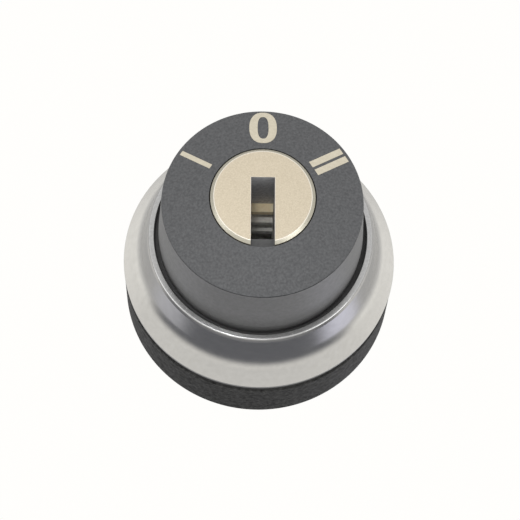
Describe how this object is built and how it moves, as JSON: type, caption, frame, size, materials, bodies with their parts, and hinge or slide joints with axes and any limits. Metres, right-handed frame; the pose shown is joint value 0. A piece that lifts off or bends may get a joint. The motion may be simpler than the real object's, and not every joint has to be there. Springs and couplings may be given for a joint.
{
  "type": "selector key switch",
  "caption": "Round key-operated selector head for a 22 mm panel hole: satin bezel, dark legend cap, turning key barrel, ring nut behind.",
  "frame": {"origin": "centre of the panel seating face, which is the underside of the gasket", "axes": "+Z along the switch axis, out of the front towards the user; +Y towards the zero mark, up on an upright panel; +X to the user's right"},
  "size_m": [0.0296, 0.0296, 0.0334],
  "materials": {
    "satin_metal": "satin",
    "cap_plastic": "matte",
    "legend_inlay": "matte",
    "black_plastic": "matte",
    "nut_plastic": "matte",
    "gasket_rubber": "matte",
    "zinc_casting": "satin",
    "barrel_metal": "satin",
    "brass": "satin",
    "spring_steel": "polished",
    "screw_steel": "satin",
    "cam_plastic": "matte",
    "plunger_plastic": "matte"
  },
  "bodies": {
    "housing": {"housing": "black_plastic", "bezel_ring": "satin_metal", "legend_cap": "cap_plastic", "legend_zero": "legend_inlay", "legend_one": "legend_inlay", "legend_two": "legend_inlay", "panel_gasket": "gasket_rubber", "lock_sleeve": "zinc_casting", "rear_guide": "black_plastic", "detent_spring": "spring_steel", "plunger_spring_left": "spring_steel", "plunger_spring_right": "spring_steel"},
    "washer": {"locating_washer": "nut_plastic"},
    "nut": {"lock_nut": "nut_plastic"},
    "barrel": {"key_barrel": "barrel_metal", "barrel_seal": "gasket_rubber", "retaining_clip": "spring_steel", "cam_drum": "cam_plastic", "drum_screw": "screw_steel"},
    "wafers": {"lock_wafer_1": "brass", "lock_wafer_2": "brass", "lock_wafer_3": "brass", "lock_wafer_4": "brass", "lock_wafer_5": "brass"},
    "plunger_left": {"plunger_left": "plunger_plastic"},
    "plunger_right": {"plunger_right": "plunger_plastic"}
  },
  "joints": [
    {"name": "key_turn", "type": "hinge", "parent": "housing", "child": "barrel", "pos_m": [0, 0, 0], "axis": [0, 0, 1], "range_deg": [-60, 60], "deforming": ["detent_spring"]},
    {"name": "wafer_slide", "type": "slide", "parent": "barrel", "child": "wafers", "axis": [0, -1, 0], "range_m": [0, 0.0005]},
    {"name": "plunger_left_slide", "type": "slide", "parent": "housing", "child": "plunger_left", "axis": [0, 0, -1], "range_m": [-0.0015, 0.0015], "deforming": ["plunger_spring_left"]},
    {"name": "plunger_right_slide", "type": "slide", "parent": "housing", "child": "plunger_right", "axis": [0, 0, -1], "range_m": [-0.0015, 0.0015], "deforming": ["plunger_spring_right"]},
    {"name": "washer_slide", "type": "slide", "parent": "housing", "child": "washer", "axis": [0, 0, 1], "range_m": [-0.004, 0]},
    {"name": "nut_turn", "type": "hinge", "parent": "washer", "child": "nut", "pos_m": [0, 0, 0], "axis": [0, 0, 1], "range_deg": [-960, 0]}
  ],
  "couplings": [
    {"joint": "plunger_left_slide", "follows": "key_turn", "m_per_rad": 0.0014324},
    {"joint": "plunger_right_slide", "follows": "key_turn", "m_per_rad": -0.0014324},
    {"joint": "washer_slide", "follows": "nut_turn", "m_per_rad": 0.00023873}
  ]
}
